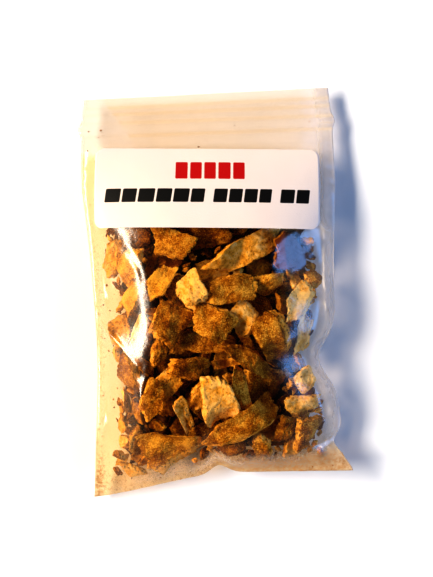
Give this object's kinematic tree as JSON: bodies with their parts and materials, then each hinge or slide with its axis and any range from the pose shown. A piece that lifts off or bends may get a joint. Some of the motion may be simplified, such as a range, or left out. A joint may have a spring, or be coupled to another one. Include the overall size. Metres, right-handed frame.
{
  "type": "bag of dried orange peel",
  "caption": "Small clear grip-seal bag filled with chopped dried orange peel, lying on its back, with a white paper label under the zip.",
  "frame": {"origin": "middle of the bounding box, on the surface that the bag lies on", "axes": "+X across the bag, +Y from the bottom seam to the zip, +Z out of the labelled front"},
  "size_m": [0.0786, 0.1214, 0.0227],
  "materials": {
    "film": "clear glossy polyethylene film, slightly hazy, with ribs at the zip",
    "label_paper": "matt white paper label with plain red and black bars",
    "dried_peel": "dry matt peel, pitted and golden brown outside, paler and felty inside"
  },
  "bodies": {
    "root": {"bag": "film", "label": "label_paper"}
  },
  "joints": []
}
